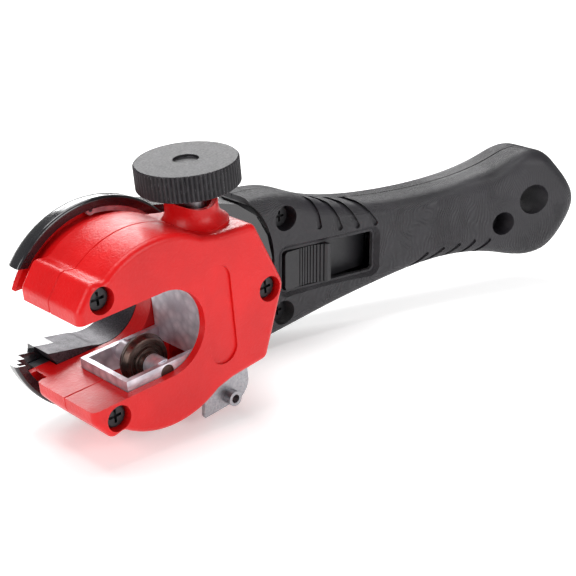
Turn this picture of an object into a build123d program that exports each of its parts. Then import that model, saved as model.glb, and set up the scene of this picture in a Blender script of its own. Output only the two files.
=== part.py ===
"""Ratcheting pipe cutter: a C-shaped cutting head that turns inside a ring frame on a hollow handle.

Millimetres. The origin is on the tube's axis, in the plane of the cutting wheel.
+X runs along the handle away from the mouth, +Y to the back of the tool, +Z up to the feed knob.
The head and the ring frame each have their own tilt about the tube's axis, two ratchet clicks apart.
"""

from build123d import *
from math import cos, radians, sin
import os

os.makedirs("parts", exist_ok=True)

# Tube and ratchet
TUBE_R = 14.3               # largest tube, 28.6 mm outside
MOUTH_R = TUBE_R + 0.3
TEETH = 60
PITCH_ANGLE = 360 / TEETH
HEAD_TILT = PITCH_ANGLE     # head turned one click up from the handle's line
FRAME_TILT = -PITCH_ANGLE   # ring frame turned one click down

# Head
HALF = 15.75                # thickness of each half of the head
HEAD_R = 32.3
JAW_TIP_X = -30.8
BLOCK_TOP = 24.4
APEX_X = 49.0
FACE_FILLET = 2.2
SEAM_CHAMFER = 0.35
JAW_SCREWS = [(-21.9, 20.1), (-21.9, -20.1), (42.2, 0)]
RECESS_R = 4.4
RECESS_DEPTH = 4.6
SCREW_R = 2.0
SCREW_HEAD_R = 3.9

# Carriage, wheel and feed screw, in the head's own axes
CARRIAGE_LOW = -9.1
TRAY_LEFT, TRAY_RIGHT = -15.6, 16.4
TRAY_HALF = 12.65
TRAY_TOP = -11.2
TRAY_WALL = 1.8
PLATE_TOP = 8.0
PLAY = 0.3
WHEEL_R = 9.0
WHEEL_Z = -14.2
AXLE_R = 2.5
KNOB_X = 25.9
KNOB_R = 17.0
KNOB_BOTTOM, KNOB_TOP = 38.2, 46.9
THREAD_R = 4.0
THREAD_PITCH = 1.5
COLLAR_R = 8.7
COLLAR_TOP = 35.2
NUT_HALF = 9.0
NUT_BOTTOM, NUT_TOP = -14.0, -2.0
NUT_RIGHT = 33.2

# Rollers in the upper jaw
ROLLER_R = 4.5
ROLLER_X, ROLLER_Z = 7.5, 17.3
ROLLER_HALF = 8.0
ROLLER_PIN_R = 1.5

# Neck, ratchet ring and ring frame
NECK_R = 30.5
FLANGE_R = 32.6
HUB_R = 24.4
RING_BORE = HUB_R + 0.5
CUP_BORE = FLANGE_R + 0.5
CUP_R = 36.5
NECK_END = 20.4
FLANGE_FRONT = 22.15
RATCHET_FRONT, RATCHET_BACK = 24.5, 28.5
RATCHET_R, TOOTH_ROOT = 30.2, 28.6
POCKET_R = RATCHET_R + 0.4
RATCHET_BOLTS_R = 26.75
CUP_FRONT, RIM_BACK, CUP_FLOOR, CUP_BACK = 19.4, 22.2, 28.9, 33.0
DOME_R = 22.0               # radius where the cup's domed back turns flat
HUB_FRONT, HUB_BACK = 20.75, 35.0
SLOT_HALF = 14.3
SPIGOT_R = 19.0

# Pawls in the neck of the ring frame, in the frame's own axes
PAWL_ANGLE = 2.5 * PITCH_ANGLE
PAWL_PIVOT = (32.8, 23.8)
PAWL_BOSS_R = 3.2
PAWL_PIN_R = 1.5
PAWL_FRONT, PAWL_BACK = 25.0, 28.4
PIN_BACK = 32.2
COVER_FRONT, COVER_BACK = 21.5, 23.9

# Handle: a band of even thickness, bent about a distant centre in front of it
BEND_R = 410.0
HANDLE_FACE = 22.25
HANDLE_START = 50.0
HANDLE_THICK = 22.5
SEAM_DEPTH = 12.0
WALL = 2.8
HANDLE_SCREWS = [(82.3, 10.8), (81.3, -26.0), (182.0, -8.4)]
HANDLE_RECESS_R = 4.8
HANG_X, HANG_Z, HANG_R = 195.0, 0.2, 6.2

# Slider
WINDOW_LEFT, WINDOW_RIGHT = 81.5, 123.5
WINDOW_BOTTOM, WINDOW_TOP = -17.8, -2.2
BEVEL_DEPTH = 0.9
SLIDER_TRAVEL = 12.0
SLIDER_PLATE_Y = 24.3
SLIDER_PLATE_THICK = 1.6
SLIDER_Z = (WINDOW_BOTTOM + WINDOW_TOP) / 2
TANG_FRONT, TANG_BACK = 29.5, 33.0


def front_plane(y, tilt=0.0):
    """Plane seen from the front, at depth y: its x is the tilted X, its y the tilted Z."""
    return Plane(origin=(0, y, 0), x_dir=(cos(radians(tilt)), 0, sin(radians(tilt))), z_dir=(0, -1, 0))


def up_plane(height, tilt=0.0):
    """Plane seen from above, at a height along the tilted Z: its x is the tilted X, its y is Y."""
    c, s = cos(radians(tilt)), sin(radians(tilt))
    return Plane(origin=(-s * height, 0, c * height), x_dir=(c, 0, s), z_dir=(-s, 0, c))


def finish(part, name):
    """Label a finished piece and write it."""
    part.label = name
    export_step(part, f"parts/{name}.step")


def c_ring(outer, inner, slot_half):
    """A flat ring with the tube's mouth cut through its left side."""
    Circle(outer)
    Circle(inner, mode=Mode.SUBTRACT)
    with Locations((-outer, 0)):
        Rectangle(2 * outer, 2 * slot_half, mode=Mode.SUBTRACT)


def arm(x, z, radius, angle):
    """The point at a radius and angle from (x, z)."""
    return (x + radius * cos(radians(angle)), z + radius * sin(radians(angle)))


# ---------------------------------------------------------------- head halves


def head_outline():
    """The head seen from the front, with its mouth open to the left."""
    shoulder = arm(0, 0, HEAD_R, 57)
    notch = arm(0, 0, HEAD_R, 128.5)
    block = [(24, 25.6), (38.8, BLOCK_TOP), (APEX_X, 0), (38.8, -BLOCK_TOP), (24, -25.6)]
    with BuildLine() as outline:
        FilletPolyline((JAW_TIP_X, 0), (JAW_TIP_X, 18.8), (-24.8, 26.4), notch, radius=[3.6, 2.6])
        ThreePointArc(notch, (0, HEAD_R), shoulder)
        mirror(about=Plane.XZ)
        FilletPolyline(shoulder, *block, (shoulder[0], -shoulder[1]), radius=[6, 3.2, 6, 3.2, 6])
    make_face(outline.edges())
    fillet(vertices().filter_by(lambda v: abs((v.X ** 2 + v.Y ** 2) ** 0.5 - HEAD_R) < 0.05), 3.0)
    Circle(MOUTH_R, mode=Mode.SUBTRACT)
    with Locations((JAW_TIP_X, 0)):
        Rectangle(-2 * JAW_TIP_X, 2 * MOUTH_R, mode=Mode.SUBTRACT)


def outer_rim(rims):
    """The edges round the outside of a head half, without those along the mouth."""
    return [
        e for e in rims
        if abs((e @ 0.5).X) + abs((e @ 0.5).Z) > 26.5 and not (e.geom_type == GeomType.LINE and e.length > 25)
    ]


def cut_head_inside(side):
    """Hollow one half: side is 1 for the front half and -1 for the rear half."""
    left, right = TRAY_LEFT - PLAY, TRAY_RIGHT + PLAY
    with BuildSketch(front_plane(0, HEAD_TILT)) as profile:
        Circle(29.6)
        with Locations(((left + right) / 2, -20)):
            Rectangle(right - left, 20, mode=Mode.INTERSECT)
        with Locations((right - 3.5, -5.25)):
            Rectangle(7, 29.5)
        with Locations((right - 1.2, 10)):
            Rectangle(2.4, 25)
    extrude(profile.sketch, amount=side * (TRAY_HALF + PLAY), mode=Mode.SUBTRACT)
    with BuildSketch(front_plane(0, HEAD_TILT)) as profile:
        with Locations(((right + NUT_RIGHT + PLAY) / 2, -5.5)):
            Rectangle(NUT_RIGHT + PLAY - right + 0.4, 35.8)
        with Locations((0, -28)):
            Rectangle(20.4, 12)
    extrude(profile.sketch, amount=side * (NUT_HALF + PLAY), mode=Mode.SUBTRACT)
    with BuildSketch(front_plane(0, HEAD_TILT)) as profile:
        with Locations((ROLLER_X, ROLLER_Z), (-ROLLER_X, ROLLER_Z)):
            Circle(ROLLER_R + PLAY)
    extrude(profile.sketch, amount=side * (ROLLER_HALF + PLAY), mode=Mode.SUBTRACT)
    with BuildSketch(front_plane(0, HEAD_TILT)) as profile:
        with Locations((ROLLER_X, ROLLER_Z), (-ROLLER_X, ROLLER_Z)):
            Circle(ROLLER_PIN_R)
    extrude(profile.sketch, amount=side * 11.2, mode=Mode.SUBTRACT)
    for low, high, radius in ((-26.5, 18, 4.4), (17.9, 22.5, 6.5), (22, 27, 5.08), (26, 36, 6.9)):
        with BuildSketch(up_plane(low, HEAD_TILT)) as profile:
            with Locations((KNOB_X, 0)):
                Circle(radius)
        extrude(profile.sketch, amount=high - low, mode=Mode.SUBTRACT)


def add_half_collar(side):
    """Half of the collar under the knob, with a saddle-shaped rim."""
    with BuildSketch(up_plane(20, HEAD_TILT)) as profile:
        with Locations((KNOB_X, 0)):
            Circle(COLLAR_R)
        with Locations((KNOB_X, -side * COLLAR_R)):
            Rectangle(2 * COLLAR_R, 2 * COLLAR_R, mode=Mode.INTERSECT)
    extrude(profile.sketch, amount=COLLAR_TOP - 20)
    base = up_plane(0, HEAD_TILT).from_local_coords((KNOB_X, 0, 0))
    with BuildSketch(Plane(origin=base, x_dir=front_plane(0, HEAD_TILT).x_dir, z_dir=(0, -1, 0))) as profile:
        with BuildLine() as flare:
            Polyline((COLLAR_R, 31), (COLLAR_R - 1, 31), (COLLAR_R - 1, 22), (COLLAR_R + 3, 22), (COLLAR_R + 3, 26))
            ThreePointArc((COLLAR_R, 31), (COLLAR_R + 0.7, 28.2), (COLLAR_R + 3, 26))
        make_face(flare.edges())
    revolve(profile.sketch, axis=Axis(base, up_plane(0, HEAD_TILT).z_dir), revolution_arc=-180 * side)
    with BuildSketch(front_plane(COLLAR_R + 1, HEAD_TILT)) as profile:
        with Locations((KNOB_X, 46)):
            Circle(14)
    extrude(profile.sketch, amount=2 * COLLAR_R + 2, mode=Mode.SUBTRACT)


with BuildPart() as head_front_half:
    with BuildSketch(front_plane(0, HEAD_TILT)):
        head_outline()
    extrude(amount=HALF)
    fillet(outer_rim(head_front_half.edges().group_by(Axis.Y)[0]), FACE_FILLET)
    chamfer(head_front_half.edges().group_by(Axis.Y)[-1], SEAM_CHAMFER)
    add_half_collar(1)
    cut_head_inside(1)
    # shallow raised-edge channel on the face, over the nut's travel
    with BuildSketch(front_plane(-HALF + 0.7, HEAD_TILT)):
        with Locations((21.0, -1.4)):
            SlotOverall(34.8, 11, rotation=90)
    extrude(amount=2, mode=Mode.SUBTRACT)
    with BuildSketch(front_plane(-HALF + RECESS_DEPTH, HEAD_TILT)):
        with Locations(*JAW_SCREWS):
            Circle(RECESS_R)
    extrude(amount=RECESS_DEPTH, mode=Mode.SUBTRACT)
    with BuildSketch(front_plane(0, HEAD_TILT)):
        with Locations(*JAW_SCREWS):
            Circle(SCREW_R + 0.1)
    extrude(amount=HALF, mode=Mode.SUBTRACT)
    # slot for the folding reamer, and the blind hole for its rivet
    with BuildSketch(front_plane(-10.65, HEAD_TILT)):
        with BuildLine():
            Polyline((10.0, -44), (13.0, -28.0), (17.2, -25.5), (22, -21), (22, -11), (56, -11), (56, -44),
                     close=True)
        make_face()
    extrude(amount=1.9, mode=Mode.SUBTRACT)
    with BuildSketch(front_plane(-6.5, HEAD_TILT)):
        with Locations((37, -18)):
            Circle(1.5)
    extrude(amount=7.3, mode=Mode.SUBTRACT)
finish(head_front_half.part, "head_front_half")

with BuildPart() as head_rear_half:
    with BuildSketch(front_plane(HALF, HEAD_TILT)):
        head_outline()
    extrude(amount=HALF)
    fillet(outer_rim(head_rear_half.edges().group_by(Axis.Y)[-1]), 1.6)
    chamfer(head_rear_half.edges().group_by(Axis.Y)[0], SEAM_CHAMFER)
    add_half_collar(-1)
    with BuildSketch(front_plane(NECK_END, HEAD_TILT)):
        c_ring(NECK_R, MOUTH_R, MOUTH_R)
    extrude(amount=NECK_END - HALF + 2)
    with BuildSketch(front_plane(FLANGE_FRONT + 0.5, HEAD_TILT)):
        c_ring(NECK_R, RING_BORE, MOUTH_R)
    extrude(amount=FLANGE_FRONT + 0.5 - HALF)
    with BuildSketch(front_plane(RATCHET_FRONT, HEAD_TILT)):
        c_ring(FLANGE_R, RING_BORE, MOUTH_R)
    extrude(amount=RATCHET_FRONT - FLANGE_FRONT)
    cut_head_inside(-1)
    with BuildSketch(front_plane(0, HEAD_TILT)):
        with Locations(*JAW_SCREWS):
            Circle(SCREW_R)
    extrude(amount=-12.5, mode=Mode.SUBTRACT)
    with BuildSketch(front_plane(RATCHET_FRONT, HEAD_TILT)):
        with PolarLocations(RATCHET_BOLTS_R, 4, start_angle=45):
            Circle(0.95)
    extrude(amount=8, mode=Mode.SUBTRACT)
finish(head_rear_half.part, "head_rear_half")


# ---------------------------------------------------------------- screws


def pan_screw(base, tilt, spots, head_r, head_h, shank_r, shank_length):
    """Cross-recessed screws seen from the front: heads stand forward of the depth `base`."""
    with BuildSketch(front_plane(base, tilt)) as profile:
        with Locations(*spots):
            Circle(head_r)
    extrude(profile.sketch, amount=head_h)
    heads = [e for e in edges().group_by(Axis.Y)[0]]
    fillet(heads, 0.3 * head_h)
    with BuildSketch(front_plane(base, tilt)) as profile:
        with Locations(*spots):
            Circle(shank_r)
    extrude(profile.sketch, amount=-shank_length)
    with BuildSketch(front_plane(base - 0.4 * head_h, tilt)) as profile:
        with Locations(*spots):
            Rectangle(1.2 * head_r, 0.26 * head_r)
            Rectangle(0.26 * head_r, 1.2 * head_r)
    extrude(profile.sketch, amount=head_h, mode=Mode.SUBTRACT)


with BuildPart() as head_screws:
    pan_screw(-HALF + RECESS_DEPTH, HEAD_TILT, JAW_SCREWS, SCREW_HEAD_R, 2.2, SCREW_R, 21)
finish(head_screws.part, "head_screws")

# ---------------------------------------------------------------- ratchet ring

with BuildPart() as ratchet_ring:
    tooth_points = []
    for tooth in range(TEETH):
        crest = tooth * PITCH_ANGLE
        tooth_points.append(arm(0, 0, RATCHET_R, crest))
        tooth_points.append(arm(0, 0, TOOTH_ROOT, crest + PITCH_ANGLE / 2))
    with BuildSketch(front_plane(RATCHET_BACK, HEAD_TILT)):
        with BuildLine():
            Polyline(*tooth_points, close=True)
        make_face()
        Circle(RING_BORE, mode=Mode.SUBTRACT)
        with Locations((-RATCHET_R, 0)):
            Rectangle(2 * RATCHET_R, 2 * MOUTH_R, mode=Mode.SUBTRACT)
        with PolarLocations(RATCHET_BOLTS_R, 4, start_angle=45):
            Circle(1.0, mode=Mode.SUBTRACT)
    extrude(amount=RATCHET_BACK - RATCHET_FRONT)
    with BuildSketch(front_plane(RATCHET_BACK, HEAD_TILT)):
        with PolarLocations(RATCHET_BOLTS_R, 4, start_angle=45):
            Circle(1.65)
    extrude(amount=2, mode=Mode.SUBTRACT)
finish(ratchet_ring.part, "ratchet_ring")

with BuildPart() as ratchet_screws:
    spots = [arm(0, 0, RATCHET_BOLTS_R, angle) for angle in (45, 135, 225, 315)]
    with BuildSketch(front_plane(RATCHET_BACK - 0.2, HEAD_TILT)):
        with Locations(*spots):
            Circle(1.6)
    extrude(amount=1.8)
    with BuildSketch(front_plane(RATCHET_BACK - 1.9, HEAD_TILT)):
        with Locations(*spots):
            Circle(0.95)
    extrude(amount=9.5)
    with BuildSketch(front_plane(RATCHET_BACK, HEAD_TILT)):
        with Locations(*spots):
            RegularPolygon(0.9, 6)
    extrude(amount=1.2, mode=Mode.SUBTRACT)
finish(ratchet_screws.part, "ratchet_screws")

# ---------------------------------------------------------------- rollers

ROLLERS = {"tube_roller_left": -ROLLER_X, "tube_roller_right": ROLLER_X}
for name, x in ROLLERS.items():
    with BuildPart() as roller:
        with BuildSketch(front_plane(ROLLER_HALF, HEAD_TILT)):
            with Locations((x, ROLLER_Z)):
                Circle(ROLLER_R)
                Circle(ROLLER_PIN_R + 0.05, mode=Mode.SUBTRACT)
        extrude(amount=2 * ROLLER_HALF)
        chamfer(roller.edges().filter_by(GeomType.CIRCLE).filter_by(lambda e: e.radius > 4), 0.5)
        # relief groove where the cutting wheel passes
        with BuildSketch(front_plane(1.3, HEAD_TILT)):
            with Locations((x, ROLLER_Z)):
                Circle(ROLLER_R + 1)
                Circle(ROLLER_R - 1.1, mode=Mode.SUBTRACT)
        extrude(amount=2.6, mode=Mode.SUBTRACT)
    finish(roller.part, name)

with BuildPart() as roller_pins:
    with BuildSketch(front_plane(11, HEAD_TILT)):
        with Locations((ROLLER_X, ROLLER_Z), (-ROLLER_X, ROLLER_Z)):
            Circle(ROLLER_PIN_R)
    extrude(amount=22)
finish(roller_pins.part, "roller_pins")

# ---------------------------------------------------------------- feed screw and knob

with BuildPart() as feed_screw:
    with BuildSketch(Plane(origin=up_plane(0, HEAD_TILT).from_local_coords((KNOB_X, 0, 0)),
                           x_dir=up_plane(0, HEAD_TILT).x_dir, z_dir=(0, -1, 0))):
        with BuildLine():
            turns = int((17.6 - NUT_BOTTOM + 8) / THREAD_PITCH)
            thread = []
            for turn in range(turns):
                low = -22.3 + turn * THREAD_PITCH
                thread += [(THREAD_R - 0.55, low + 0.15), (THREAD_R, low + 0.6), (THREAD_R, low + 1.05)]
            thread.append((THREAD_R - 0.55, -22.3 + turns * THREAD_PITCH))
            Polyline((0, -25.6), (2.6, -25.6), (3.0, -25.2), (3.0, -22.3), *thread,
                     (THREAD_R - 0.55, 19.0), (6.2, 19.0), (6.2, 21.4), (5.0, 21.4), (5.0, 37.1),
                     (4.0, 37.1), (4.0, 44.5), (0, 44.5), close=True)
        make_face()
    revolve(axis=Axis(up_plane(0, HEAD_TILT).from_local_coords((KNOB_X, 0, 0)),
                      up_plane(0, HEAD_TILT).z_dir))
finish(feed_screw.part, "feed_screw")

with BuildPart() as thrust_bushes:
    for low, inner in ((18.0, 3.6), (21.5, 5.1)):
        with BuildSketch(up_plane(low, HEAD_TILT)):
            with Locations((KNOB_X, 0)):
                Circle(6.3)
                Circle(inner, mode=Mode.SUBTRACT)
        extrude(amount=0.9)
finish(thrust_bushes.part, "thrust_bushes")

with BuildPart() as knob:
    knurls = 72
    with BuildSketch(up_plane(KNOB_BOTTOM, HEAD_TILT)):
        with Locations((KNOB_X, 0)):
            Circle(KNOB_R)
    extrude(amount=KNOB_TOP - KNOB_BOTTOM)
    chamfer(knob.edges().filter_by(GeomType.CIRCLE), 0.5)
    with BuildSketch(up_plane(KNOB_BOTTOM, HEAD_TILT)):
        with Locations((KNOB_X, 0)):
            with PolarLocations(KNOB_R + 0.1, knurls):
                Rectangle(0.95, 0.95, rotation=45)
    extrude(amount=KNOB_TOP - KNOB_BOTTOM, mode=Mode.SUBTRACT)
    # dished centre in the top, and the square-cornered seat of the screw below
    with BuildSketch(up_plane(KNOB_TOP - 0.9, HEAD_TILT)):
        with Locations((KNOB_X, 0)):
            Circle(4.25)
    extrude(amount=1, mode=Mode.SUBTRACT)
    with BuildSketch(up_plane(KNOB_BOTTOM, HEAD_TILT)):
        with Locations((KNOB_X, 0)):
            Circle(4.02)
    extrude(amount=6.4, mode=Mode.SUBTRACT)
    # plain arrow for the closing direction, sunk in the rim
    with BuildSketch(up_plane(KNOB_TOP - 0.3, HEAD_TILT)):
        with Locations((KNOB_X - 10.5, 0)):
            with BuildLine():
                Polyline((-1.0, 2.6), (1.0, 2.6), (1.0, -0.6), (2.2, -0.6), (0, -3.2),
                         (-2.2, -0.6), (-1.0, -0.6), close=True)
            make_face()
            offset(amount=-0.35, mode=Mode.SUBTRACT)
    extrude(amount=1, mode=Mode.SUBTRACT)
finish(knob.part, "knob")

with BuildPart() as knob_washer:
    with BuildSketch(up_plane(37.15, HEAD_TILT)):
        with Locations((KNOB_X, 0)):
            Circle(9.6)
            Circle(4.05, mode=Mode.SUBTRACT)
    extrude(amount=1.0)
finish(knob_washer.part, "knob_washer")

# ---------------------------------------------------------------- carriage

TRAY_BOTTOM_R = 29.2        # the tray's lower edge lies on this arc when fully open

with BuildPart() as carriage:
    with BuildSketch(front_plane(TRAY_HALF, HEAD_TILT)):
        with Locations((0, -CARRIAGE_LOW)):
            Circle(TRAY_BOTTOM_R)
        with Locations(((TRAY_LEFT + TRAY_RIGHT) / 2, TRAY_TOP - 8)):
            Rectangle(TRAY_RIGHT - TRAY_LEFT, 16, mode=Mode.INTERSECT)
        with Locations((TRAY_RIGHT - TRAY_WALL / 2, (PLATE_TOP + TRAY_TOP - 3) / 2)):
            Rectangle(TRAY_WALL, PLATE_TOP - TRAY_TOP + 3)
    extrude(amount=2 * TRAY_HALF)
    with BuildSketch(front_plane(TRAY_HALF - TRAY_WALL, HEAD_TILT)):
        with Locations(((TRAY_LEFT + TRAY_RIGHT) / 2, TRAY_TOP - 8)):
            Rectangle(TRAY_RIGHT - TRAY_LEFT - 2 * TRAY_WALL, 18)
    extrude(amount=2 * (TRAY_HALF - TRAY_WALL), mode=Mode.SUBTRACT)
    # rounded upper corners of the back plate, and a light break on the tray's rim
    plate_corners = carriage.edges().filter_by(lambda e: e.length < TRAY_WALL + 0.1).sort_by(Axis.Z)[-2:]
    fillet(plate_corners, 4.0)
    with BuildSketch(front_plane(TRAY_HALF, HEAD_TILT)):
        with Locations((0, WHEEL_Z)):
            Circle(AXLE_R + 0.02)
    extrude(amount=2 * TRAY_HALF, mode=Mode.SUBTRACT)
finish(carriage.part, "carriage")

with BuildPart() as feed_nut:
    with BuildSketch(up_plane(NUT_BOTTOM, HEAD_TILT)):
        with Locations(((TRAY_RIGHT + NUT_RIGHT) / 2, 0)):
            Rectangle(NUT_RIGHT - TRAY_RIGHT, 2 * NUT_HALF)
        with Locations((KNOB_X, 0)):
            Circle(THREAD_R + 0.08, mode=Mode.SUBTRACT)
    extrude(amount=NUT_TOP - NUT_BOTTOM)
    chamfer(feed_nut.edges().filter_by(Axis((0, 0, 0), up_plane(0, HEAD_TILT).z_dir)).sort_by(Axis.X)[-2:], 2)
finish(feed_nut.part, "feed_nut")

with BuildPart() as cutting_wheel:
    wheel_centre = front_plane(0, HEAD_TILT).from_local_coords((0, WHEEL_Z, 0))
    with BuildSketch(Plane(origin=wheel_centre, x_dir=(0, 1, 0), z_dir=(1, 0, 0))):
        with BuildLine():
            Polyline((0, WHEEL_R), (0.35, WHEEL_R - 0.35), (2.1, 8.0), (2.4, 7.6), (2.4, 6.6), (1.9, 6.2),
                     (1.9, 5.3), (3.0, 5.0), (3.0, 4.1), (4.2, 3.8), (4.2, AXLE_R + 0.05),
                     (0, AXLE_R + 0.05))
            mirror(about=Plane.YZ)
        make_face()
    revolve(axis=Axis(wheel_centre, (0, 1, 0)))
finish(cutting_wheel.part, "cutting_wheel")

with BuildPart() as wheel_axle:
    with BuildSketch(front_plane(TRAY_HALF + 0.1, HEAD_TILT)):
        with Locations((0, WHEEL_Z)):
            Circle(AXLE_R)
    extrude(amount=2 * TRAY_HALF + 0.2)
    chamfer(wheel_axle.edges().filter_by(GeomType.CIRCLE), 0.3)
finish(wheel_axle.part, "wheel_axle")

with BuildPart() as wheel_spacers:
    for back, length in ((TRAY_HALF - TRAY_WALL - 0.1, 6.3), (-4.45, 6.3)):
        with BuildSketch(front_plane(back, HEAD_TILT)):
            with Locations((0, WHEEL_Z)):
                Circle(3.6)
                Circle(AXLE_R + 0.05, mode=Mode.SUBTRACT)
        extrude(amount=length)
finish(wheel_spacers.part, "wheel_spacers")

# ---------------------------------------------------------------- folding reamer

REAMER_PIVOT = (37.0, -18.0)
REAMER_BOSS = (23.6, -33.4)

with BuildPart() as reamer_blade:
    with BuildSketch(front_plane(-10.85, HEAD_TILT)):
        with BuildLine():
            edge = Polyline((23.6, -36.5), (12.8, -37.1), (12.4, -36.2), (13.9, -28.4), (17.6, -26.0),
                            (33.6, -15.0), (39.5, -14.2), (41.0, -17.5), (40.4, -21.5), (33.4, -24.6),
                            (32.2, -26.6), (32.2, -30.4))
            ThreePointArc(edge @ 1, (29.8, -34.9), edge @ 0)
        make_face()
    extrude(amount=1.5)
    with BuildSketch(front_plane(-8.4, HEAD_TILT)):
        with Locations(REAMER_BOSS):
            Circle(2.6)
    extrude(amount=7.1)
    with BuildSketch(front_plane(-8.4, HEAD_TILT)):
        with Locations(REAMER_BOSS):
            Circle(1.5)
    extrude(amount=7.1, mode=Mode.SUBTRACT)
    with BuildSketch(front_plane(-5, HEAD_TILT)):
        with Locations(REAMER_PIVOT):
            Circle(1.55)
    extrude(amount=10, mode=Mode.SUBTRACT)
finish(reamer_blade.part, "reamer_blade")

with BuildPart() as reamer_rivet:
    with BuildSketch(front_plane(-6.6, HEAD_TILT)):
        with Locations(REAMER_PIVOT):
            Circle(1.5)
    extrude(amount=7.1)
finish(reamer_rivet.part, "reamer_rivet")

# ---------------------------------------------------------------- ring frame

NECK_POINTS = [(16.0, 31.0), (36.0, 30.2), (57.0, 27.0), (66.3, 22.0), (72.5, 14.0), (75.8, 5.0)]
CHAMBER_POINTS = [(20.0, 21.0), (30.2, 28.4), (55.5, 21.6), (58.0, 17.5)]


def symmetric_face(points):
    """A face closed by mirroring its upper points across the frame's own X axis."""
    with BuildLine() as outline:
        Polyline((points[0][0], 0), *points, (points[-1][0], 0))
        mirror(about=Plane.XZ)
    make_face(outline.edges())


with BuildPart() as ring_cup:
    # cup: a shallow bowl with a narrow rim and a domed back, still solid
    with BuildSketch(Plane.XY):
        with BuildLine():
            bowl = Polyline((DOME_R, CUP_BACK), (0, CUP_BACK), (0, CUP_FRONT), (CUP_R, CUP_FRONT),
                            (CUP_R, RIM_BACK))
            EllipticalCenterArc((DOME_R, RIM_BACK), CUP_R - DOME_R, CUP_BACK - RIM_BACK, arc_size=90)
        make_face()
    revolve(axis=Axis.Y)
    fillet(ring_cup.edges().group_by(Axis.Y)[0], 1.0)
    # neck, solid for now
    with BuildSketch(front_plane(CUP_BACK, FRAME_TILT)):
        symmetric_face(NECK_POINTS)
    extrude(amount=CUP_BACK - COVER_BACK)
    # room for the head's flange, and a smaller pocket behind it for the ratchet ring
    for floor, radius in ((RATCHET_FRONT + 0.3, CUP_BORE), (CUP_FLOOR, POCKET_R)):
        with BuildSketch(front_plane(floor, FRAME_TILT)):
            Circle(radius)
        extrude(amount=floor - CUP_FRONT, mode=Mode.SUBTRACT)
    # neck block and tang, which the handle shells close on
    with BuildSketch(front_plane(CUP_BACK, FRAME_TILT)):
        with Locations((65, 0)):
            Rectangle(14, 39)
    extrude(amount=CUP_BACK - 26.2)
    with BuildSketch(front_plane(TANG_BACK, FRAME_TILT)):
        with Locations((94, 0)):
            Rectangle(52, 16)
    extrude(amount=TANG_BACK - TANG_FRONT)
    # pawl chamber, open to the ratchet teeth
    with BuildSketch(front_plane(CUP_FLOOR, FRAME_TILT)):
        symmetric_face(CHAMBER_POINTS)
        Circle(POCKET_R - 0.1, mode=Mode.SUBTRACT)
    extrude(amount=CUP_FLOOR - COVER_BACK, mode=Mode.SUBTRACT)
    with BuildSketch(front_plane(CUP_FLOOR, FRAME_TILT)):
        with Locations((46.4, 9.6), (46.4, -9.6)):
            Rectangle(2.4, 6.5)
    extrude(amount=CUP_FLOOR - COVER_BACK)
    # way through the neck for the selector bar
    with BuildSketch(front_plane(TANG_FRONT + 0.15)):
        with Locations((68, SLIDER_Z)):
            Rectangle(34, 6.2)
    extrude(amount=3.2, mode=Mode.SUBTRACT)
    # tube mouth, wider at the tips, and the centre hole for the hub block
    with BuildSketch(front_plane(CUP_BACK, FRAME_TILT)):
        Circle(SPIGOT_R)
        with Locations((-20, 0)):
            Rectangle(40, 2 * SLOT_HALF)
        with Locations((-30, 0)):
            Rectangle(20, 2 * SLOT_HALF + 3.6)
    extrude(amount=CUP_BACK - CUP_FRONT, mode=Mode.SUBTRACT)
    # groove that holds the snap ring
    with BuildSketch(front_plane(21.95, FRAME_TILT)):
        Circle(34.75)
        Circle(32.5, mode=Mode.SUBTRACT)
    extrude(amount=1.9, mode=Mode.SUBTRACT)
    # pawl pin holes and detent dimples
    with BuildSketch(front_plane(PIN_BACK + 0.1, FRAME_TILT)):
        with Locations(PAWL_PIVOT, (PAWL_PIVOT[0], -PAWL_PIVOT[1])):
            Circle(PAWL_PIN_R)
    extrude(amount=PIN_BACK - CUP_FLOOR + 0.2, mode=Mode.SUBTRACT)
    with BuildSketch(front_plane(TANG_FRONT + 0.6)):
        with Locations((104, SLIDER_Z), (104 + SLIDER_TRAVEL, SLIDER_Z)):
            Circle(1.3)
    extrude(amount=0.6, mode=Mode.SUBTRACT)
    with BuildSketch(front_plane(CUP_FLOOR, FRAME_TILT)):
        with Locations((51, 18.6), (51, -18.6)):
            Circle(3.2)
    extrude(amount=CUP_FLOOR - COVER_BACK)
    with BuildSketch(front_plane(CUP_FLOOR, FRAME_TILT)):
        with Locations((51, 18.6), (51, -18.6)):
            Circle(1.25)
    extrude(amount=CUP_FLOOR - COVER_BACK, mode=Mode.SUBTRACT)
finish(ring_cup.part, "ring_cup")

with BuildPart() as hub_block:
    with BuildSketch(front_plane(CUP_FLOOR, FRAME_TILT)):
        c_ring(HUB_R, MOUTH_R, SLOT_HALF)
    extrude(amount=CUP_FLOOR - HUB_FRONT)
    with BuildSketch(front_plane(HUB_BACK, FRAME_TILT)):
        c_ring(SPIGOT_R - 0.05, MOUTH_R, SLOT_HALF)
    extrude(amount=HUB_BACK - CUP_FLOOR)
finish(hub_block.part, "hub_block")

with BuildPart() as snap_ring:
    with BuildSketch(front_plane(21.8, FRAME_TILT)):
        Circle(34.6)
        Circle(31.2, mode=Mode.SUBTRACT)
        with BuildLine():
            Polyline((0, 0), arm(0, 0, 60, 101), arm(0, 0, 90, 180), arm(0, 0, 60, 259), close=True)
        make_face(mode=Mode.SUBTRACT)
        with Locations(arm(0, 0, 32.6, 100), arm(0, 0, 32.6, -100)):
            Circle(1.7)
            Circle(0.7, mode=Mode.SUBTRACT)
    extrude(amount=1.6)
finish(snap_ring.part, "snap_ring")

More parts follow.
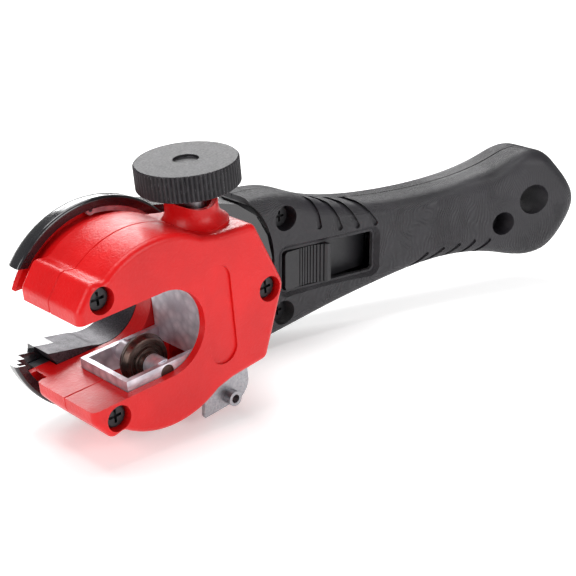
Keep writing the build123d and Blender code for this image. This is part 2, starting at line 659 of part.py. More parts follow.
with BuildPart() as neck_cover:
    with BuildSketch(front_plane(COVER_BACK, FRAME_TILT)):
        symmetric_face(NECK_POINTS)
        Circle(CUP_R + 0.1, mode=Mode.SUBTRACT)
        with Locations(PAWL_PIVOT, (PAWL_PIVOT[0], -PAWL_PIVOT[1])):
            Circle(PAWL_PIN_R, mode=Mode.SUBTRACT)
        with Locations((51, 18.6), (51, -18.6)):
            Circle(1.4, mode=Mode.SUBTRACT)
    extrude(amount=COVER_BACK - COVER_FRONT)
finish(neck_cover.part, "neck_cover")

with BuildPart() as neck_cover_screws:
    pan_screw(COVER_FRONT, FRAME_TILT, [(51, 18.6), (51, -18.6)], 2.4, 1.5, 1.2, 7)
finish(neck_cover_screws.part, "neck_cover_screws")


# ---------------------------------------------------------------- pawls


def pawl_face(side):
    """One pawl, hooked into the valley between two teeth: side is 1 above and -1 below."""
    out = (cos(radians(PAWL_ANGLE)), sin(radians(PAWL_ANGLE)))
    reach = TOOTH_ROOT + 0.35
    tip = (reach * out[0], reach * out[1])

    def spot(radial, across):
        x = tip[0] + radial * out[0] - across * out[1]
        return (x, side * (tip[1] + radial * out[1] + across * out[0]))

    pivot = (PAWL_PIVOT[0], side * PAWL_PIVOT[1])
    with BuildLine() as outline:
        Polyline(spot(0, 0), spot(2.4, 1.3), (pivot[0] - 3.0, pivot[1]), (pivot[0] + 3.0, pivot[1]),
                 spot(6.2, -0.8), spot(2.4, -1.3), close=True)
    make_face(outline.edges())
    with Locations(pivot):
        Circle(PAWL_BOSS_R)
        Circle(PAWL_PIN_R + 0.05, mode=Mode.SUBTRACT)


for name, side in (("pawl_upper", 1), ("pawl_lower", -1)):
    with BuildPart() as pawl:
        with BuildSketch(front_plane(PAWL_BACK, FRAME_TILT)):
            pawl_face(side)
        extrude(amount=PAWL_BACK - PAWL_FRONT)
    finish(pawl.part, name)

with BuildPart() as pawl_pins:
    with BuildSketch(front_plane(PIN_BACK, FRAME_TILT)):
        with Locations(PAWL_PIVOT, (PAWL_PIVOT[0], -PAWL_PIVOT[1])):
            Circle(PAWL_PIN_R)
    extrude(amount=PIN_BACK - COVER_FRONT - 0.1)
finish(pawl_pins.part, "pawl_pins")


def coil(start, direction, radius, wire, length, turns):
    """A compression spring, from its start along its direction."""
    helix = Helix(pitch=length / turns, height=length, radius=radius, center=start, direction=direction)
    section = Plane(origin=helix @ 0, z_dir=helix % 0) * Circle(wire)
    return sweep(section, path=helix, is_frenet=True)


for name, z in (("pawl_spring_upper", 9.4), ("pawl_spring_lower", -9.4)):
    seat = front_plane(26.5, FRAME_TILT).from_local_coords((37.4, z, 0))
    wound = coil(seat, front_plane(0, FRAME_TILT).x_dir, 1.5, 0.3, 7.2, 6)
    with BuildPart() as spring:
        add(wound)
    finish(spring.part, name)


# ---------------------------------------------------------------- handle shells


TOP_EDGE = [(56, 20.8), (72, 20.4), (84, 19.4), (98, 14.3), (114, 10.4), (140, 8.6), (164, 10.4), (184, 16.0)]
END_EDGE = [(194.5, 19.8), (202.5, 18.2), (208.5, 12.4), (214, 5.0), (216.5, -2.0),
            (214.8, -9.5), (211, -16.4), (205.2, -22.4), (197, -24.6)]
BOTTOM_EDGE = [(182, -21.8), (166, -19.8), (148, -21.0), (129, -24.6), (108, -29.0), (84, -34.2), (56, -38.5)]
HOLLOW_END = 174.0


def handle_outline(inset=0.0):
    """The handle seen from the front: wide at the neck, slim at the waist, flared at the end."""
    top = [(x, z - inset) for x, z in TOP_EDGE]
    bottom = [(x, z + inset) for x, z in BOTTOM_EDGE]
    end = []
    for x, z in END_EDGE:
        reach = ((x - HANG_X) ** 2 + (z - HANG_Z) ** 2) ** 0.5
        end.append((x - inset * (x - HANG_X) / reach, z - inset * (z - HANG_Z) / reach))
    with BuildLine() as outline:
        Spline(*top, *end, *bottom)
        Line(bottom[-1], top[0])
    make_face(outline.edges())


def hollow_outline():
    """The space inside the shells, one wall in from the top and bottom edges."""
    top = [(x, z - WALL) for x, z in TOP_EDGE]
    bottom = [(x, z + WALL) for x, z in BOTTOM_EDGE]
    with BuildLine() as outline:
        Spline(*top)
        Line(top[-1], bottom[0])
        Spline(*bottom)
        Line(bottom[-1], top[0])
    make_face(outline.edges())
    with Locations((HOLLOW_END - 100, 0)):
        Rectangle(200, 90, mode=Mode.INTERSECT)
    with Locations((53, -8.5)):
        Rectangle(10, 53)


def bent_band(near, far):
    """The layer of the handle between two depths behind its front face."""
    with BuildSketch(Plane.XY.offset(-60)) as band:
        with Locations((HANDLE_START, HANDLE_FACE - BEND_R)):
            Circle(BEND_R + far)
            Circle(BEND_R + near, mode=Mode.SUBTRACT)
        with Locations((140, 5)):
            Rectangle(200, 100, mode=Mode.INTERSECT)
    return band.sketch


def face_depth(x, depth=0.0):
    """The Y of the layer at a depth behind the front face, at x."""
    reach = BEND_R + depth
    return HANDLE_FACE - BEND_R + (reach ** 2 - (x - HANDLE_START) ** 2) ** 0.5


with BuildPart() as handle_body:
    with BuildSketch(front_plane(70)):
        handle_outline()
    extrude(amount=120)
    extrude(bent_band(0, HANDLE_THICK), amount=120, mode=Mode.INTERSECT)
    long_edges = [e for e in handle_body.edges() if (e @ 0.5).X > 57 and e.length > 2]
    fillet(long_edges, 6.0)

with BuildPart() as handle_space:
    with BuildSketch(front_plane(70)):
        hollow_outline()
    extrude(amount=120)
    extrude(bent_band(WALL, HANDLE_THICK - WALL), amount=120, mode=Mode.INTERSECT)
    with BuildSketch(front_plane(70)):
        with Locations(*HANDLE_SCREWS[:2]):
            Circle(6.2)
    extrude(amount=120, mode=Mode.SUBTRACT)


GROOVE_DEPTH = 0.9
SEAM_GROOVE = 0.5
GRIP_TOP = [(95.4, 15.4, 97.8, 4.5), (102.3, 14.1, 107.4, 2.2), (109.1, 12.9, 115.3, 1.5), (116.0, 11.7, 123.6, 1.2)]
GRIP_LOW = [(144.6, -18.6, 148.1, -15.8), (151.4, -17.7, 155.4, -15.0), (159.2, -17.3, 162.7, -14.5),
            (166.5, -17.3, 169.5, -13.9), (173.3, -17.5, 176.3, -14.5)]

with BuildPart() as handle_core:
    with BuildSketch(front_plane(70)):
        handle_outline(GROOVE_DEPTH)
    extrude(amount=120)
    extrude(bent_band(GROOVE_DEPTH, HANDLE_THICK - GROOVE_DEPTH), amount=120, mode=Mode.INTERSECT)
    long_edges = [e for e in handle_core.edges() if (e @ 0.5).X > 57 and e.length > 2]
    fillet(long_edges, 5.1)

with BuildPart() as grip_cutters:
    # slanted grip grooves: long ones over the top edge, short ones on the lower edge
    for reach, width, marks in ((9, 2.2, GRIP_TOP), (-6, 1.5, GRIP_LOW)):
        for x0, z0, x1, z1 in marks:
            slope = (x1 - x0) / (z1 - z0)
            with BuildSketch(front_plane(33)) as profile:
                with BuildLine() as outline:
                    Line((x0 + slope * reach, z0 + reach), (x1, z1))
                trace(lines=outline.edges(), line_width=width)
                with Locations((x1, z1)):
                    Circle(width / 2)
            extrude(profile.sketch, amount=60)
    add(handle_core.part, mode=Mode.SUBTRACT)

with BuildPart() as seam_cutter:
    extrude(bent_band(SEAM_DEPTH - SEAM_GROOVE / 2, SEAM_DEPTH + SEAM_GROOVE / 2), amount=120)
    add(handle_core.part, mode=Mode.SUBTRACT)


def cut_handle():
    """What both shells share: hollow, seam groove, arched mouth round the neck, and hanging hole."""
    add(handle_space.part, mode=Mode.SUBTRACT)
    add(seam_cutter.part, mode=Mode.SUBTRACT)
    with BuildSketch(front_plane(60, FRAME_TILT)) as profile:
        with Locations((50, 0)):
            Ellipse(27.2, 30.5)
        with Locations((50, 0)):
            Rectangle(30, 90)
    extrude(profile.sketch, amount=70, mode=Mode.SUBTRACT)
    with BuildSketch(front_plane(70)) as profile:
        with Locations((HANG_X, HANG_Z)):
            Circle(HANG_R)
    extrude(profile.sketch, amount=120, mode=Mode.SUBTRACT)


with BuildPart() as handle_front_shell:
    extrude(bent_band(-8, SEAM_DEPTH - 0.02), amount=120)
    add(handle_body.part, mode=Mode.INTERSECT)
    cut_handle()
    add(grip_cutters.part, mode=Mode.SUBTRACT)
    # slider window
    with BuildSketch(front_plane(SLIDER_PLATE_Y)):
        with Locations(((WINDOW_LEFT + WINDOW_RIGHT) / 2, SLIDER_Z)):
            RectangleRounded(WINDOW_RIGHT - WINDOW_LEFT, WINDOW_TOP - WINDOW_BOTTOM, 1.6)
    extrude(amount=30, mode=Mode.SUBTRACT)
    # bevel round the window, square to the face there
    middle = (WINDOW_LEFT + WINDOW_RIGHT) / 2
    lean = (middle - HANDLE_START) / BEND_R
    bevel_plane = Plane(origin=(middle, face_depth(middle, BEVEL_DEPTH), SLIDER_Z),
                        x_dir=(cos(lean), -sin(lean), 0), z_dir=(-sin(lean), -cos(lean), 0))
    with BuildSketch(bevel_plane):
        RectangleRounded(WINDOW_RIGHT - WINDOW_LEFT + 1.6, WINDOW_TOP - WINDOW_BOTTOM + 1.6, 2.4)
    extrude(amount=3, taper=-50, mode=Mode.SUBTRACT)
    for x, z in HANDLE_SCREWS:
        deep = 6.2 if x < 100 else 8.6
        with BuildSketch(front_plane(face_depth(x, deep))):
            with Locations((x, z)):
                Circle(HANDLE_RECESS_R)
        extrude(amount=40, mode=Mode.SUBTRACT)
        with BuildSketch(front_plane(face_depth(x, SEAM_DEPTH + 2))):
            with Locations((x, z)):
                Circle(2.0)
        extrude(amount=20, mode=Mode.SUBTRACT)
finish(handle_front_shell.part, "handle_front_shell")

with BuildPart() as handle_rear_shell:
    extrude(bent_band(SEAM_DEPTH + 0.02, HANDLE_THICK + 8), amount=120)
    add(handle_body.part, mode=Mode.INTERSECT)
    cut_handle()
    for x, z in HANDLE_SCREWS:
        with BuildSketch(front_plane(face_depth(x, SEAM_DEPTH + 8))):
            with Locations((x, z)):
                Circle(1.75)
        extrude(amount=12, mode=Mode.SUBTRACT)
finish(handle_rear_shell.part, "handle_rear_shell")

with BuildPart() as handle_screws:
    for x, z in HANDLE_SCREWS:
        deep = 6.2 if x < 100 else 8.6
        seat = face_depth(x, deep)
        with BuildSketch(front_plane(seat)):
            with Locations((x, z)):
                Circle(3.7)
        extrude(amount=2.4)
        with BuildSketch(front_plane(face_depth(x, SEAM_DEPTH + 7.5))):
            with Locations((x, z)):
                Circle(1.75)
        extrude(amount=face_depth(x, SEAM_DEPTH + 7.5) - seat)
        with BuildSketch(front_plane(seat - 1.2)):
            with Locations((x, z)):
                Rectangle(4.4, 1.0)
                Rectangle(1.0, 4.4)
        extrude(amount=3, mode=Mode.SUBTRACT)
finish(handle_screws.part, "handle_screws")

# ---------------------------------------------------------------- slider

BUTTON_LEFT, LIP_RIGHT = 82.2, 103.0
PLATE_LEFT, PLATE_RIGHT = 78.5, 126.0
DETENT_X = 104.0
BUTTON_FACE, LIP_FACE = 21.2, 17.9
SCOOP_LEFT, SCOOP_R = 91.5, 14.1
RIB_PITCH = 1.25


def button_depth(x):
    """The Y of the button's face: flat, then scooped up to the lip."""
    past = max(0.0, x - SCOOP_LEFT)
    return BUTTON_FACE - SCOOP_R + (SCOOP_R ** 2 - past ** 2) ** 0.5


with BuildPart() as button:
    scoop_right = LIP_RIGHT - 2.8
    scoop_middle = (SCOOP_LEFT + scoop_right) / 2
    with BuildSketch(Plane.XY.offset(WINDOW_BOTTOM)):
        with BuildLine():
            Polyline((scoop_right, button_depth(scoop_right)), (scoop_right + 0.4, LIP_FACE),
                     (LIP_RIGHT - 1.2, LIP_FACE), (LIP_RIGHT - 0.4, LIP_FACE + 0.3),
                     (LIP_RIGHT, LIP_FACE + 1.2), (LIP_RIGHT, SLIDER_PLATE_Y + 1), (BUTTON_LEFT, SLIDER_PLATE_Y + 1),
                     (BUTTON_LEFT, BUTTON_FACE), (SCOOP_LEFT, BUTTON_FACE))
            ThreePointArc((SCOOP_LEFT, BUTTON_FACE), (scoop_middle, button_depth(scoop_middle)),
                          (scoop_right, button_depth(scoop_right)))
        make_face()
    extrude(amount=WINDOW_TOP - WINDOW_BOTTOM)
    with BuildSketch(Plane.XY.offset(WINDOW_BOTTOM)):
        for rib in range(9):
            x = scoop_right - 0.8 - rib * RIB_PITCH
            with Locations((x, button_depth(x) - 0.2)):
                Rectangle(0.5, 1.0)
    extrude(amount=WINDOW_TOP - WINDOW_BOTTOM, mode=Mode.SUBTRACT)
    with BuildSketch(front_plane(SLIDER_PLATE_Y + 1)):
        with Locations(((BUTTON_LEFT + LIP_RIGHT) / 2, SLIDER_Z)):
            RectangleRounded(LIP_RIGHT - BUTTON_LEFT, WINDOW_TOP - WINDOW_BOTTOM - 0.7, 1.4)
    extrude(amount=20, mode=Mode.INTERSECT)

with BuildPart() as thumb_slider:
    plate_back = SLIDER_PLATE_Y + SLIDER_PLATE_THICK
    with BuildSketch(front_plane(plate_back)):
        with Locations(((PLATE_LEFT + PLATE_RIGHT) / 2, SLIDER_Z)):
            Rectangle(PLATE_RIGHT - PLATE_LEFT, WINDOW_TOP - WINDOW_BOTTOM + 1.8)
    extrude(amount=SLIDER_PLATE_THICK)
    add(button.part)
    # stub that carries the detent ball
    with BuildSketch(front_plane(28.4)):
        with Locations((DETENT_X, SLIDER_Z)):
            Circle(3.2)
    extrude(amount=28.4 - plate_back + 0.1)
    with BuildSketch(front_plane(28.4)):
        with Locations((DETENT_X, SLIDER_Z)):
            Circle(1.6)
    extrude(amount=3.6, mode=Mode.SUBTRACT)
    with BuildSketch(front_plane(plate_back)):
        with Locations((92, SLIDER_Z)):
            Rectangle(10.4, 5.5)
    extrude(amount=0.9, mode=Mode.SUBTRACT)
finish(thumb_slider.part, "thumb_slider")

with BuildPart() as selector_bar:
    with BuildSketch(front_plane(29.2)):
        with Locations((74.5, SLIDER_Z)):
            Rectangle(45, 5)
    extrude(amount=2.3)
    with BuildSketch(front_plane(29.2)):
        with Locations((92, SLIDER_Z)):
            Rectangle(10, 5)
    extrude(amount=29.2 - 25.1)
finish(selector_bar.part, "selector_bar")

with BuildPart() as detent_ball:
    with Locations((DETENT_X, 27.9, SLIDER_Z)):
        Sphere(1.5)
finish(detent_ball.part, "detent_ball")

detent_coil = coil((DETENT_X, 24.95, SLIDER_Z), (0, 1, 0), 1.1, 0.15, 1.2, 3)
with BuildPart() as detent_spring:
    add(detent_coil)
finish(detent_spring.part, "detent_spring")
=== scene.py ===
"""Looks of the ratcheting pipe cutter: materials, light, floor and camera.

Metres, in the frame's own axes: +X along the handle away from the mouth, +Y to the back, +Z up.
"""

import math

import bpy
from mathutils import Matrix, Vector


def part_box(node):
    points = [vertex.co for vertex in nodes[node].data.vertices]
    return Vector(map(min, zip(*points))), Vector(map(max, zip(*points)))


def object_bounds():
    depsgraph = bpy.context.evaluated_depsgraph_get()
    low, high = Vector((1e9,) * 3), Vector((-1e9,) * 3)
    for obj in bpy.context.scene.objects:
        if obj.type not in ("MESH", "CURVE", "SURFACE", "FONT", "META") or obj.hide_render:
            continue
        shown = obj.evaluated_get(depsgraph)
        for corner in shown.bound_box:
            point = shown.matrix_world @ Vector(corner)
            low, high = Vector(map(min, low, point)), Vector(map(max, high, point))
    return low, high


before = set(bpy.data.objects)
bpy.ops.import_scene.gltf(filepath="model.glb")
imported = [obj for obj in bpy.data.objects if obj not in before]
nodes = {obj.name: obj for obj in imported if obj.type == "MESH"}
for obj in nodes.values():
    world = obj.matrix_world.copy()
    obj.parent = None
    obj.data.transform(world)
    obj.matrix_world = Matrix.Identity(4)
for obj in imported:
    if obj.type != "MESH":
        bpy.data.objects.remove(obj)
cad_box = [list(corner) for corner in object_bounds()]

# Camera: where it looks, from which side, and how far away
TARGET = Vector((0.0485, -0.0174, 0.0035))
CAMERA_AZIMUTH = math.radians(42.16)
CAMERA_ELEVATION = math.radians(21.17)
CAMERA_DISTANCE = 0.4501
LENS = 85.1
SENSOR_WIDTH = 36
NEAREST_SEEN = 0.01

# Room: each soft box has a name, a place, a width and height, and a power in watts
FLOOR_SIZE = 12.0
FLOOR_GAP = 0.001
FLOOR_GLOW = 0.32
FLOOR_COLOR = (0.93, 0.93, 0.93)
AMBIENT = 0.2
LAMPS = (
    ("top_box", (0.05, 0.15, 0.75), (0.6, 0.4), 5.0),
    ("left_box", (-0.75, -0.10, 0.30), (0.4, 0.5), 3.0),
    ("front_box", (0.25, -0.80, 0.35), (0.5, 0.4), 3.4),
    ("back_box", (0.45, 0.65, 0.38), (0.6, 0.35), 4.5),
)

# Fine surface marks: distance between them and their full height
TURNING_PITCH = 0.00022
TURNING_RELIEF = 0.000006
MOULD_STEP = 0.00034
MOULD_RELIEF = 0.00012
MOULD_DRIFT = 0.0045
EDGE_SAMPLES = 6


# ------------------------------------------------------------------ node helpers

class Looks:
    """A material under construction, with short calls for the nodes that it uses."""

    def __init__(self, name, color, metallic=0.0, roughness=0.5):
        self.material = bpy.data.materials.new(name)
        self.material.use_nodes = True
        self.tree = self.material.node_tree
        self.shader = self.tree.nodes["Principled BSDF"]
        self.shader.inputs["Base Color"].default_value = (*color, 1)
        self.shader.inputs["Metallic"].default_value = metallic
        self.shader.inputs["Roughness"].default_value = roughness
        self.place = self.add("ShaderNodeTexCoord").outputs["Object"]
        self.normal = None

    def add(self, kind):
        return self.tree.nodes.new(kind)

    def join(self, source, socket):
        self.tree.links.new(source, socket)

    def math(self, operation, a, b=0.0):
        node = self.add("ShaderNodeMath")
        node.operation = operation
        for value, socket in ((a, node.inputs[0]), (b, node.inputs[1])):
            if isinstance(value, (int, float)):
                socket.default_value = value
            else:
                self.join(value, socket)
        return node.outputs[0]

    def stretched(self, scale, turn=(0, 0, 0)):
        """Object coordinates, turned and stretched."""
        node = self.add("ShaderNodeMapping")
        node.inputs["Rotation"].default_value = turn
        node.inputs["Scale"].default_value = scale
        self.join(self.place, node.inputs["Vector"])
        return node.outputs[0]

    def noise(self, scale, detail=3.0, rough=0.5, vector=None):
        node = self.add("ShaderNodeTexNoise")
        node.inputs["Scale"].default_value = scale
        node.inputs["Detail"].default_value = detail
        node.inputs["Roughness"].default_value = rough
        self.join(vector or self.place, node.inputs["Vector"])
        return node.outputs["Fac"]

    def cells(self, scale):
        node = self.add("ShaderNodeTexVoronoi")
        node.inputs["Scale"].default_value = scale
        self.join(self.place, node.inputs["Vector"])
        return node.outputs["Distance"]

    def span(self, value, low, high, to_low=0.0, to_high=1.0):
        """The value taken from one range to another, and held inside it."""
        node = self.add("ShaderNodeMapRange")
        node.inputs["From Min"].default_value = low
        node.inputs["From Max"].default_value = high
        node.inputs["To Min"].default_value = to_low
        node.inputs["To Max"].default_value = to_high
        self.join(value, node.inputs["Value"])
        return node.outputs["Result"]

    def edges(self, radius, low, high):
        """1 on sharp edges, 0 on flats."""
        bevel = self.add("ShaderNodeBevel")
        bevel.samples = EDGE_SAMPLES
        bevel.inputs["Radius"].default_value = radius
        dot = self.add("ShaderNodeVectorMath")
        dot.operation = "DOT_PRODUCT"
        self.join(bevel.outputs[0], dot.inputs[0])
        self.join(self.add("ShaderNodeNewGeometry").outputs["Normal"], dot.inputs[1])
        return self.span(self.math("SUBTRACT", 1.0, dot.outputs["Value"]), low, high)

    def blend(self, factor, a, b):
        """A colour between a and b. Either may be a colour or an output."""
        node = self.add("ShaderNodeMix")
        node.data_type = "RGBA"
        self.join(factor, node.inputs["Factor"])
        for value, socket in ((a, node.inputs[6]), (b, node.inputs[7])):
            if isinstance(value, tuple):
                socket.default_value = (*value, 1)
            else:
                self.join(value, socket)
        return node.outputs[2]

    def color(self, source):
        self.join(source, self.shader.inputs["Base Color"])

    def roughness(self, source):
        self.join(source, self.shader.inputs["Roughness"])

    def bump(self, height, distance, strength=1.0):
        """One more layer of relief, its full height in metres."""
        node = self.add("ShaderNodeBump")
        node.inputs["Strength"].default_value = strength
        node.inputs["Distance"].default_value = distance
        self.join(height, node.inputs["Height"])
        if self.normal is not None:
            self.join(self.normal, node.inputs["Normal"])
        self.normal = node.outputs["Normal"]
        self.join(self.normal, self.shader.inputs["Normal"])

    def set(self, **values):
        """Constant settings, straight on the shader's sockets: coat_weight becomes Coat Weight."""
        for name, value in values.items():
            socket = name.replace("_", " ").title().replace("Ior", "IOR")
            self.shader.inputs[socket].default_value = value


def radial(look, centre):
    """Distance from an axis that runs along Y through a point, in metres."""
    shifted = look.add("ShaderNodeVectorMath")
    shifted.operation = "SUBTRACT"
    look.join(look.place, shifted.inputs[0])
    shifted.inputs[1].default_value = centre
    flat = look.add("ShaderNodeVectorMath")
    flat.operation = "MULTIPLY"
    look.join(shifted.outputs[0], flat.inputs[0])
    flat.inputs[1].default_value = (1, 0, 1)
    length = look.add("ShaderNodeVectorMath")
    length.operation = "LENGTH"
    look.join(flat.outputs[0], length.inputs[0])
    return length.outputs["Value"]


# ------------------------------------------------------------------ materials

def red_paint():
    look = Looks("red_paint", (0.60, 0.006, 0.007), roughness=0.36)
    cloud = look.noise(45, detail=4)
    base = look.blend(look.span(cloud, 0.3, 0.7), (0.56, 0.004, 0.005), (0.70, 0.006, 0.007))
    worn = look.math("MULTIPLY", look.edges(0.0004, 0.05, 0.4), look.span(look.noise(900, 5), 0.52, 0.66))
    look.color(look.blend(worn, base, (0.80, 0.10, 0.08)))
    look.roughness(look.span(look.noise(260, detail=6, rough=0.7), 0.35, 0.7, 0.28, 0.44))
    look.bump(look.noise(950, detail=3, rough=0.6), 0.00020, 0.7)
    look.bump(look.noise(2800, detail=2), 0.00005, 0.6)
    look.set(coat_weight=0.08, coat_roughness=0.18, specular_ior_level=0.3)
    return look.material


def black_oxide():
    look = Looks("black_oxide", (0.020, 0.019, 0.022), metallic=0.15, roughness=0.5)
    cloud = look.noise(160, detail=6, rough=0.65)
    base = look.blend(look.span(cloud, 0.3, 0.7), (0.012, 0.011, 0.013), (0.026, 0.024, 0.028))
    worn = look.math("MULTIPLY", look.edges(0.0002, 0.10, 0.45), look.span(look.noise(500, 5), 0.46, 0.60))
    look.color(look.blend(worn, base, (0.62, 0.61, 0.64)))
    look.roughness(look.span(look.noise(1500, detail=4), 0.3, 0.7, 0.44, 0.60))
    look.bump(look.noise(4200, detail=3), 0.00002, 0.6)
    look.set(specular_ior_level=0.38)
    return look.material


def black_gloss():
    look = Looks("black_gloss", (0.012, 0.012, 0.014), roughness=0.2)
    base = look.blend(look.span(look.noise(60, 4), 0.3, 0.7), (0.010, 0.010, 0.012), (0.018, 0.018, 0.021))
    worn = look.math("MULTIPLY", look.edges(0.0004, 0.08, 0.5), look.span(look.noise(800, 5), 0.52, 0.68))
    look.color(look.blend(worn, base, (0.12, 0.12, 0.13)))
    look.roughness(look.span(look.noise(420, detail=5), 0.3, 0.7, 0.16, 0.30))
    look.bump(look.noise(700, detail=2), 0.00007, 0.5)
    look.set(coat_weight=0.6, coat_roughness=0.1)
    return look.material


def grey_metal():
    look = Looks("grey_metal", (0.16, 0.16, 0.18), metallic=0.6, roughness=0.48)
    speckle = look.noise(1900, detail=5, rough=0.75)
    look.color(look.blend(look.span(speckle, 0.35, 0.68), (0.020, 0.018, 0.023), (0.095, 0.088, 0.102)))
    look.roughness(look.span(look.noise(300, 5), 0.3, 0.7, 0.34, 0.52))
    look.bump(speckle, 0.00005, 0.6)
    return look.material


def zinc():
    look = Looks("zinc", (0.72, 0.71, 0.75), metallic=0.7, roughness=0.36)
    patches = look.cells(330)
    mottled = look.blend(look.span(patches, 0.0, 0.8), (0.86, 0.84, 0.89), (0.50, 0.49, 0.54))
    drawn = look.noise(1.0, detail=6, rough=0.7, vector=look.stretched((90, 1900, 1900)))
    across = look.noise(1.0, detail=6, rough=0.7, vector=look.stretched((1700, 80, 1700), turn=(0, 0, 0.5)))
    scratches = look.math("MAXIMUM", look.span(drawn, 0.60, 0.72), look.span(across, 0.64, 0.76))
    look.color(look.blend(scratches, mottled, (0.93, 0.94, 0.95)))
    look.roughness(look.span(look.noise(210, detail=6), 0.3, 0.7, 0.30, 0.48))
    look.bump(drawn, 0.00002, 0.6)
    look.bump(patches, 0.00002, 0.4)
    return look.material


def wheel_steel(centre):
    look = Looks("wheel_steel", (0.09, 0.065, 0.055), metallic=0.85, roughness=0.34)
    brown = look.blend(look.span(look.noise(350, 5), 0.3, 0.7), (0.050, 0.034, 0.030), (0.14, 0.095, 0.08))
    look.color(look.blend(look.edges(0.0003, 0.05, 0.4), brown, (0.34, 0.27, 0.23)))
    rings = look.math("SINE", look.math("MULTIPLY", radial(look, centre), 2 * math.pi / TURNING_PITCH))
    look.roughness(look.span(look.noise(900, 4), 0.3, 0.7, 0.26, 0.42))
    look.bump(rings, TURNING_RELIEF, 0.7)
    return look.material


def turned_metal(name, dark, light, rough):
    look = Looks(name, light, metallic=1.0, roughness=rough)
    drawn = look.noise(1.0, detail=5, rough=0.65, vector=look.stretched((1500, 120, 1500)))
    look.color(look.blend(look.span(drawn, 0.3, 0.7), dark, light))
    look.roughness(look.span(look.noise(500, 5), 0.3, 0.7, rough - 0.07, rough + 0.1))
    look.bump(drawn, 0.00001, 0.6)
    return look.material


def black_plastic():
    """Moulded nylon. The mould's milled steps show as wavy contour lines."""
    look = Looks("black_plastic", (0.022, 0.021, 0.025), roughness=0.5)
    cloud = look.noise(70, detail=5, rough=0.6)
    base = look.blend(look.span(cloud, 0.3, 0.7), (0.010, 0.009, 0.012), (0.020, 0.018, 0.023))
    worn = look.math("MULTIPLY", look.edges(0.0005, 0.05, 0.4), look.span(look.noise(900, 5), 0.5, 0.7))
    look.color(look.blend(worn, base, (0.13, 0.13, 0.14)))
    look.roughness(look.span(look.noise(650, detail=6, rough=0.7), 0.3, 0.7, 0.40, 0.58))
    depth = look.add("ShaderNodeSeparateXYZ")
    look.join(look.place, depth.inputs[0])
    drift = look.math("MULTIPLY", look.noise(55, detail=2), MOULD_DRIFT)
    level = look.math("ADD", depth.outputs["Y"], drift)
    steps = look.math("SINE", look.math("MULTIPLY", level, 2 * math.pi / MOULD_STEP))
    where = look.span(look.noise(24, detail=2), 0.40, 0.56, 0.15, 1.0)
    look.bump(look.math("MULTIPLY", steps, where), MOULD_RELIEF, 1.0)
    look.bump(look.noise(3200, detail=3), 0.00006, 0.6)
    return look.material


def slider_plastic():
    look = Looks("slider_plastic", (0.028, 0.028, 0.032), roughness=0.42)
    cloud = look.noise(120, detail=5)
    look.color(look.blend(look.span(cloud, 0.3, 0.7), (0.010, 0.010, 0.012), (0.018, 0.017, 0.020)))
    look.roughness(look.span(look.noise(900, 5), 0.3, 0.7, 0.34, 0.5))
    look.bump(look.noise(3800, detail=2), 0.00002, 0.5)
    return look.material


def black_screw():
    look = Looks("black_screw", (0.022, 0.022, 0.024), metallic=0.4, roughness=0.36)
    worn = look.math("MULTIPLY", look.edges(0.0002, 0.06, 0.5), look.span(look.noise(1300, 4), 0.45, 0.6))
    look.color(look.blend(worn, (0.020, 0.020, 0.022), (0.16, 0.16, 0.17)))
    look.roughness(look.span(look.noise(1100, 5), 0.3, 0.7, 0.28, 0.48))
    look.bump(look.noise(3000, detail=2), 0.00002, 0.5)
    return look.material


def dress(names, material):
    """Give each CAD node one material throughout."""
    for name in names:
        slots = nodes[name].data.materials
        slots.clear()
        slots.append(material)


wheel_low, wheel_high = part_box("cutting_wheel")
TOOL_STEEL = ["ratchet_ring", "pawl_upper", "pawl_lower", "pawl_pins", "selector_bar", "roller_pins",
              "feed_screw"]
SPRINGS = ["pawl_spring_upper", "pawl_spring_lower", "detent_spring", "detent_ball"]
BRIGHT = ["carriage", "wheel_spacers", "knob_washer", "reamer_rivet", "snap_ring"]

dress(["head_front_half", "head_rear_half"], red_paint())
dress(["knob"], black_oxide())
dress(["ring_cup", "neck_cover"], black_gloss())
dress(["hub_block"], grey_metal())
dress(BRIGHT, zinc())
dress(["cutting_wheel", "wheel_axle"], wheel_steel((wheel_low + wheel_high) / 2))
dress(TOOL_STEEL + ["tube_roller_left", "tube_roller_right", "reamer_blade"],
      turned_metal("tool_steel", (0.26, 0.26, 0.28), (0.42, 0.42, 0.44), 0.34))
dress(SPRINGS, turned_metal("spring_steel", (0.60, 0.61, 0.63), (0.82, 0.83, 0.85), 0.2))
dress(["feed_nut", "thrust_bushes"], turned_metal("brass", (0.52, 0.36, 0.13), (0.78, 0.60, 0.28), 0.28))
dress(["handle_front_shell", "handle_rear_shell"], black_plastic())
dress(["thumb_slider"], slider_plastic())
dress(["head_screws", "handle_screws", "neck_cover_screws", "ratchet_screws"], black_screw())


# ------------------------------------------------------------------ room

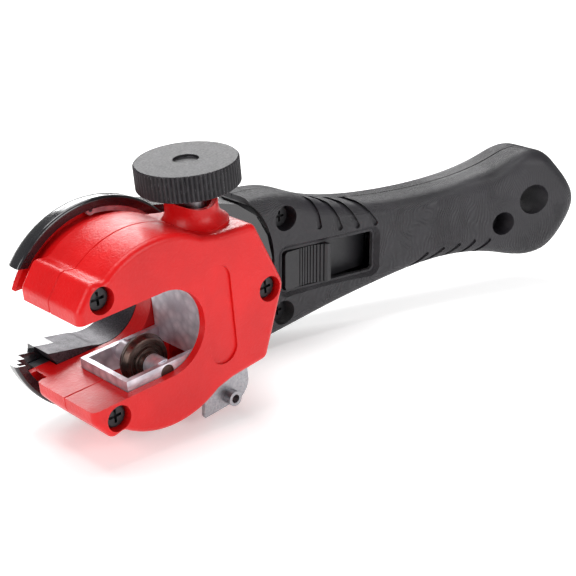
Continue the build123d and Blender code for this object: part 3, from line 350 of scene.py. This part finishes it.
def floor():
    """A wide pale sheet under the tool."""
    half = FLOOR_SIZE / 2
    mesh = bpy.data.meshes.new("floor")
    corners = [(-half, -half, 0), (half, -half, 0), (half, half, 0), (-half, half, 0)]
    mesh.from_pydata(corners, [], [(0, 1, 2, 3)])
    sheet = bpy.data.objects.new("floor", mesh)
    sheet.location.z = cad_box[0][2] - FLOOR_GAP
    bpy.context.scene.collection.objects.link(sheet)
    look = Looks("floor_paper", FLOOR_COLOR, roughness=0.85)
    look.color(look.blend(look.span(look.noise(3, 2), 0.3, 0.7), (0.92, 0.92, 0.92), (0.94, 0.94, 0.94)))
    look.set(emission_color=(1, 1, 1, 1), emission_strength=FLOOR_GLOW)
    mesh.materials.append(look.material)


def lamp(name, place, size, power):
    """A soft box that faces the tool."""
    data = bpy.data.lights.new(name, "AREA")
    data.shape = "RECTANGLE"
    data.size, data.size_y = size
    data.energy = power
    box = bpy.data.objects.new(name, data)
    box.location = place
    box.rotation_euler = (TARGET - Vector(place)).to_track_quat("-Z", "Y").to_euler()
    bpy.context.scene.collection.objects.link(box)


def camera():
    """The camera at the tool's three-quarter view, to the left of the front."""
    back = Vector((
        -math.sin(CAMERA_AZIMUTH) * math.cos(CAMERA_ELEVATION),
        -math.cos(CAMERA_AZIMUTH) * math.cos(CAMERA_ELEVATION),
        math.sin(CAMERA_ELEVATION),
    ))
    data = bpy.data.cameras.new("camera")
    data.lens = LENS
    data.sensor_width = SENSOR_WIDTH
    data.clip_start = NEAREST_SEEN
    eye = bpy.data.objects.new("camera", data)
    eye.location = TARGET + back * CAMERA_DISTANCE
    eye.rotation_euler = (-back).to_track_quat("-Z", "Y").to_euler()
    bpy.context.scene.collection.objects.link(eye)
    bpy.context.scene.camera = eye


floor()
for box_values in LAMPS:
    lamp(*box_values)
camera()

scene = bpy.context.scene
scene.view_settings.view_transform = "Standard"
world = bpy.data.worlds.new("studio")
world.use_nodes = True
world.node_tree.nodes["Background"].inputs["Color"].default_value = (1, 1, 1, 1)
world.node_tree.nodes["Background"].inputs["Strength"].default_value = AMBIENT
scene.world = world
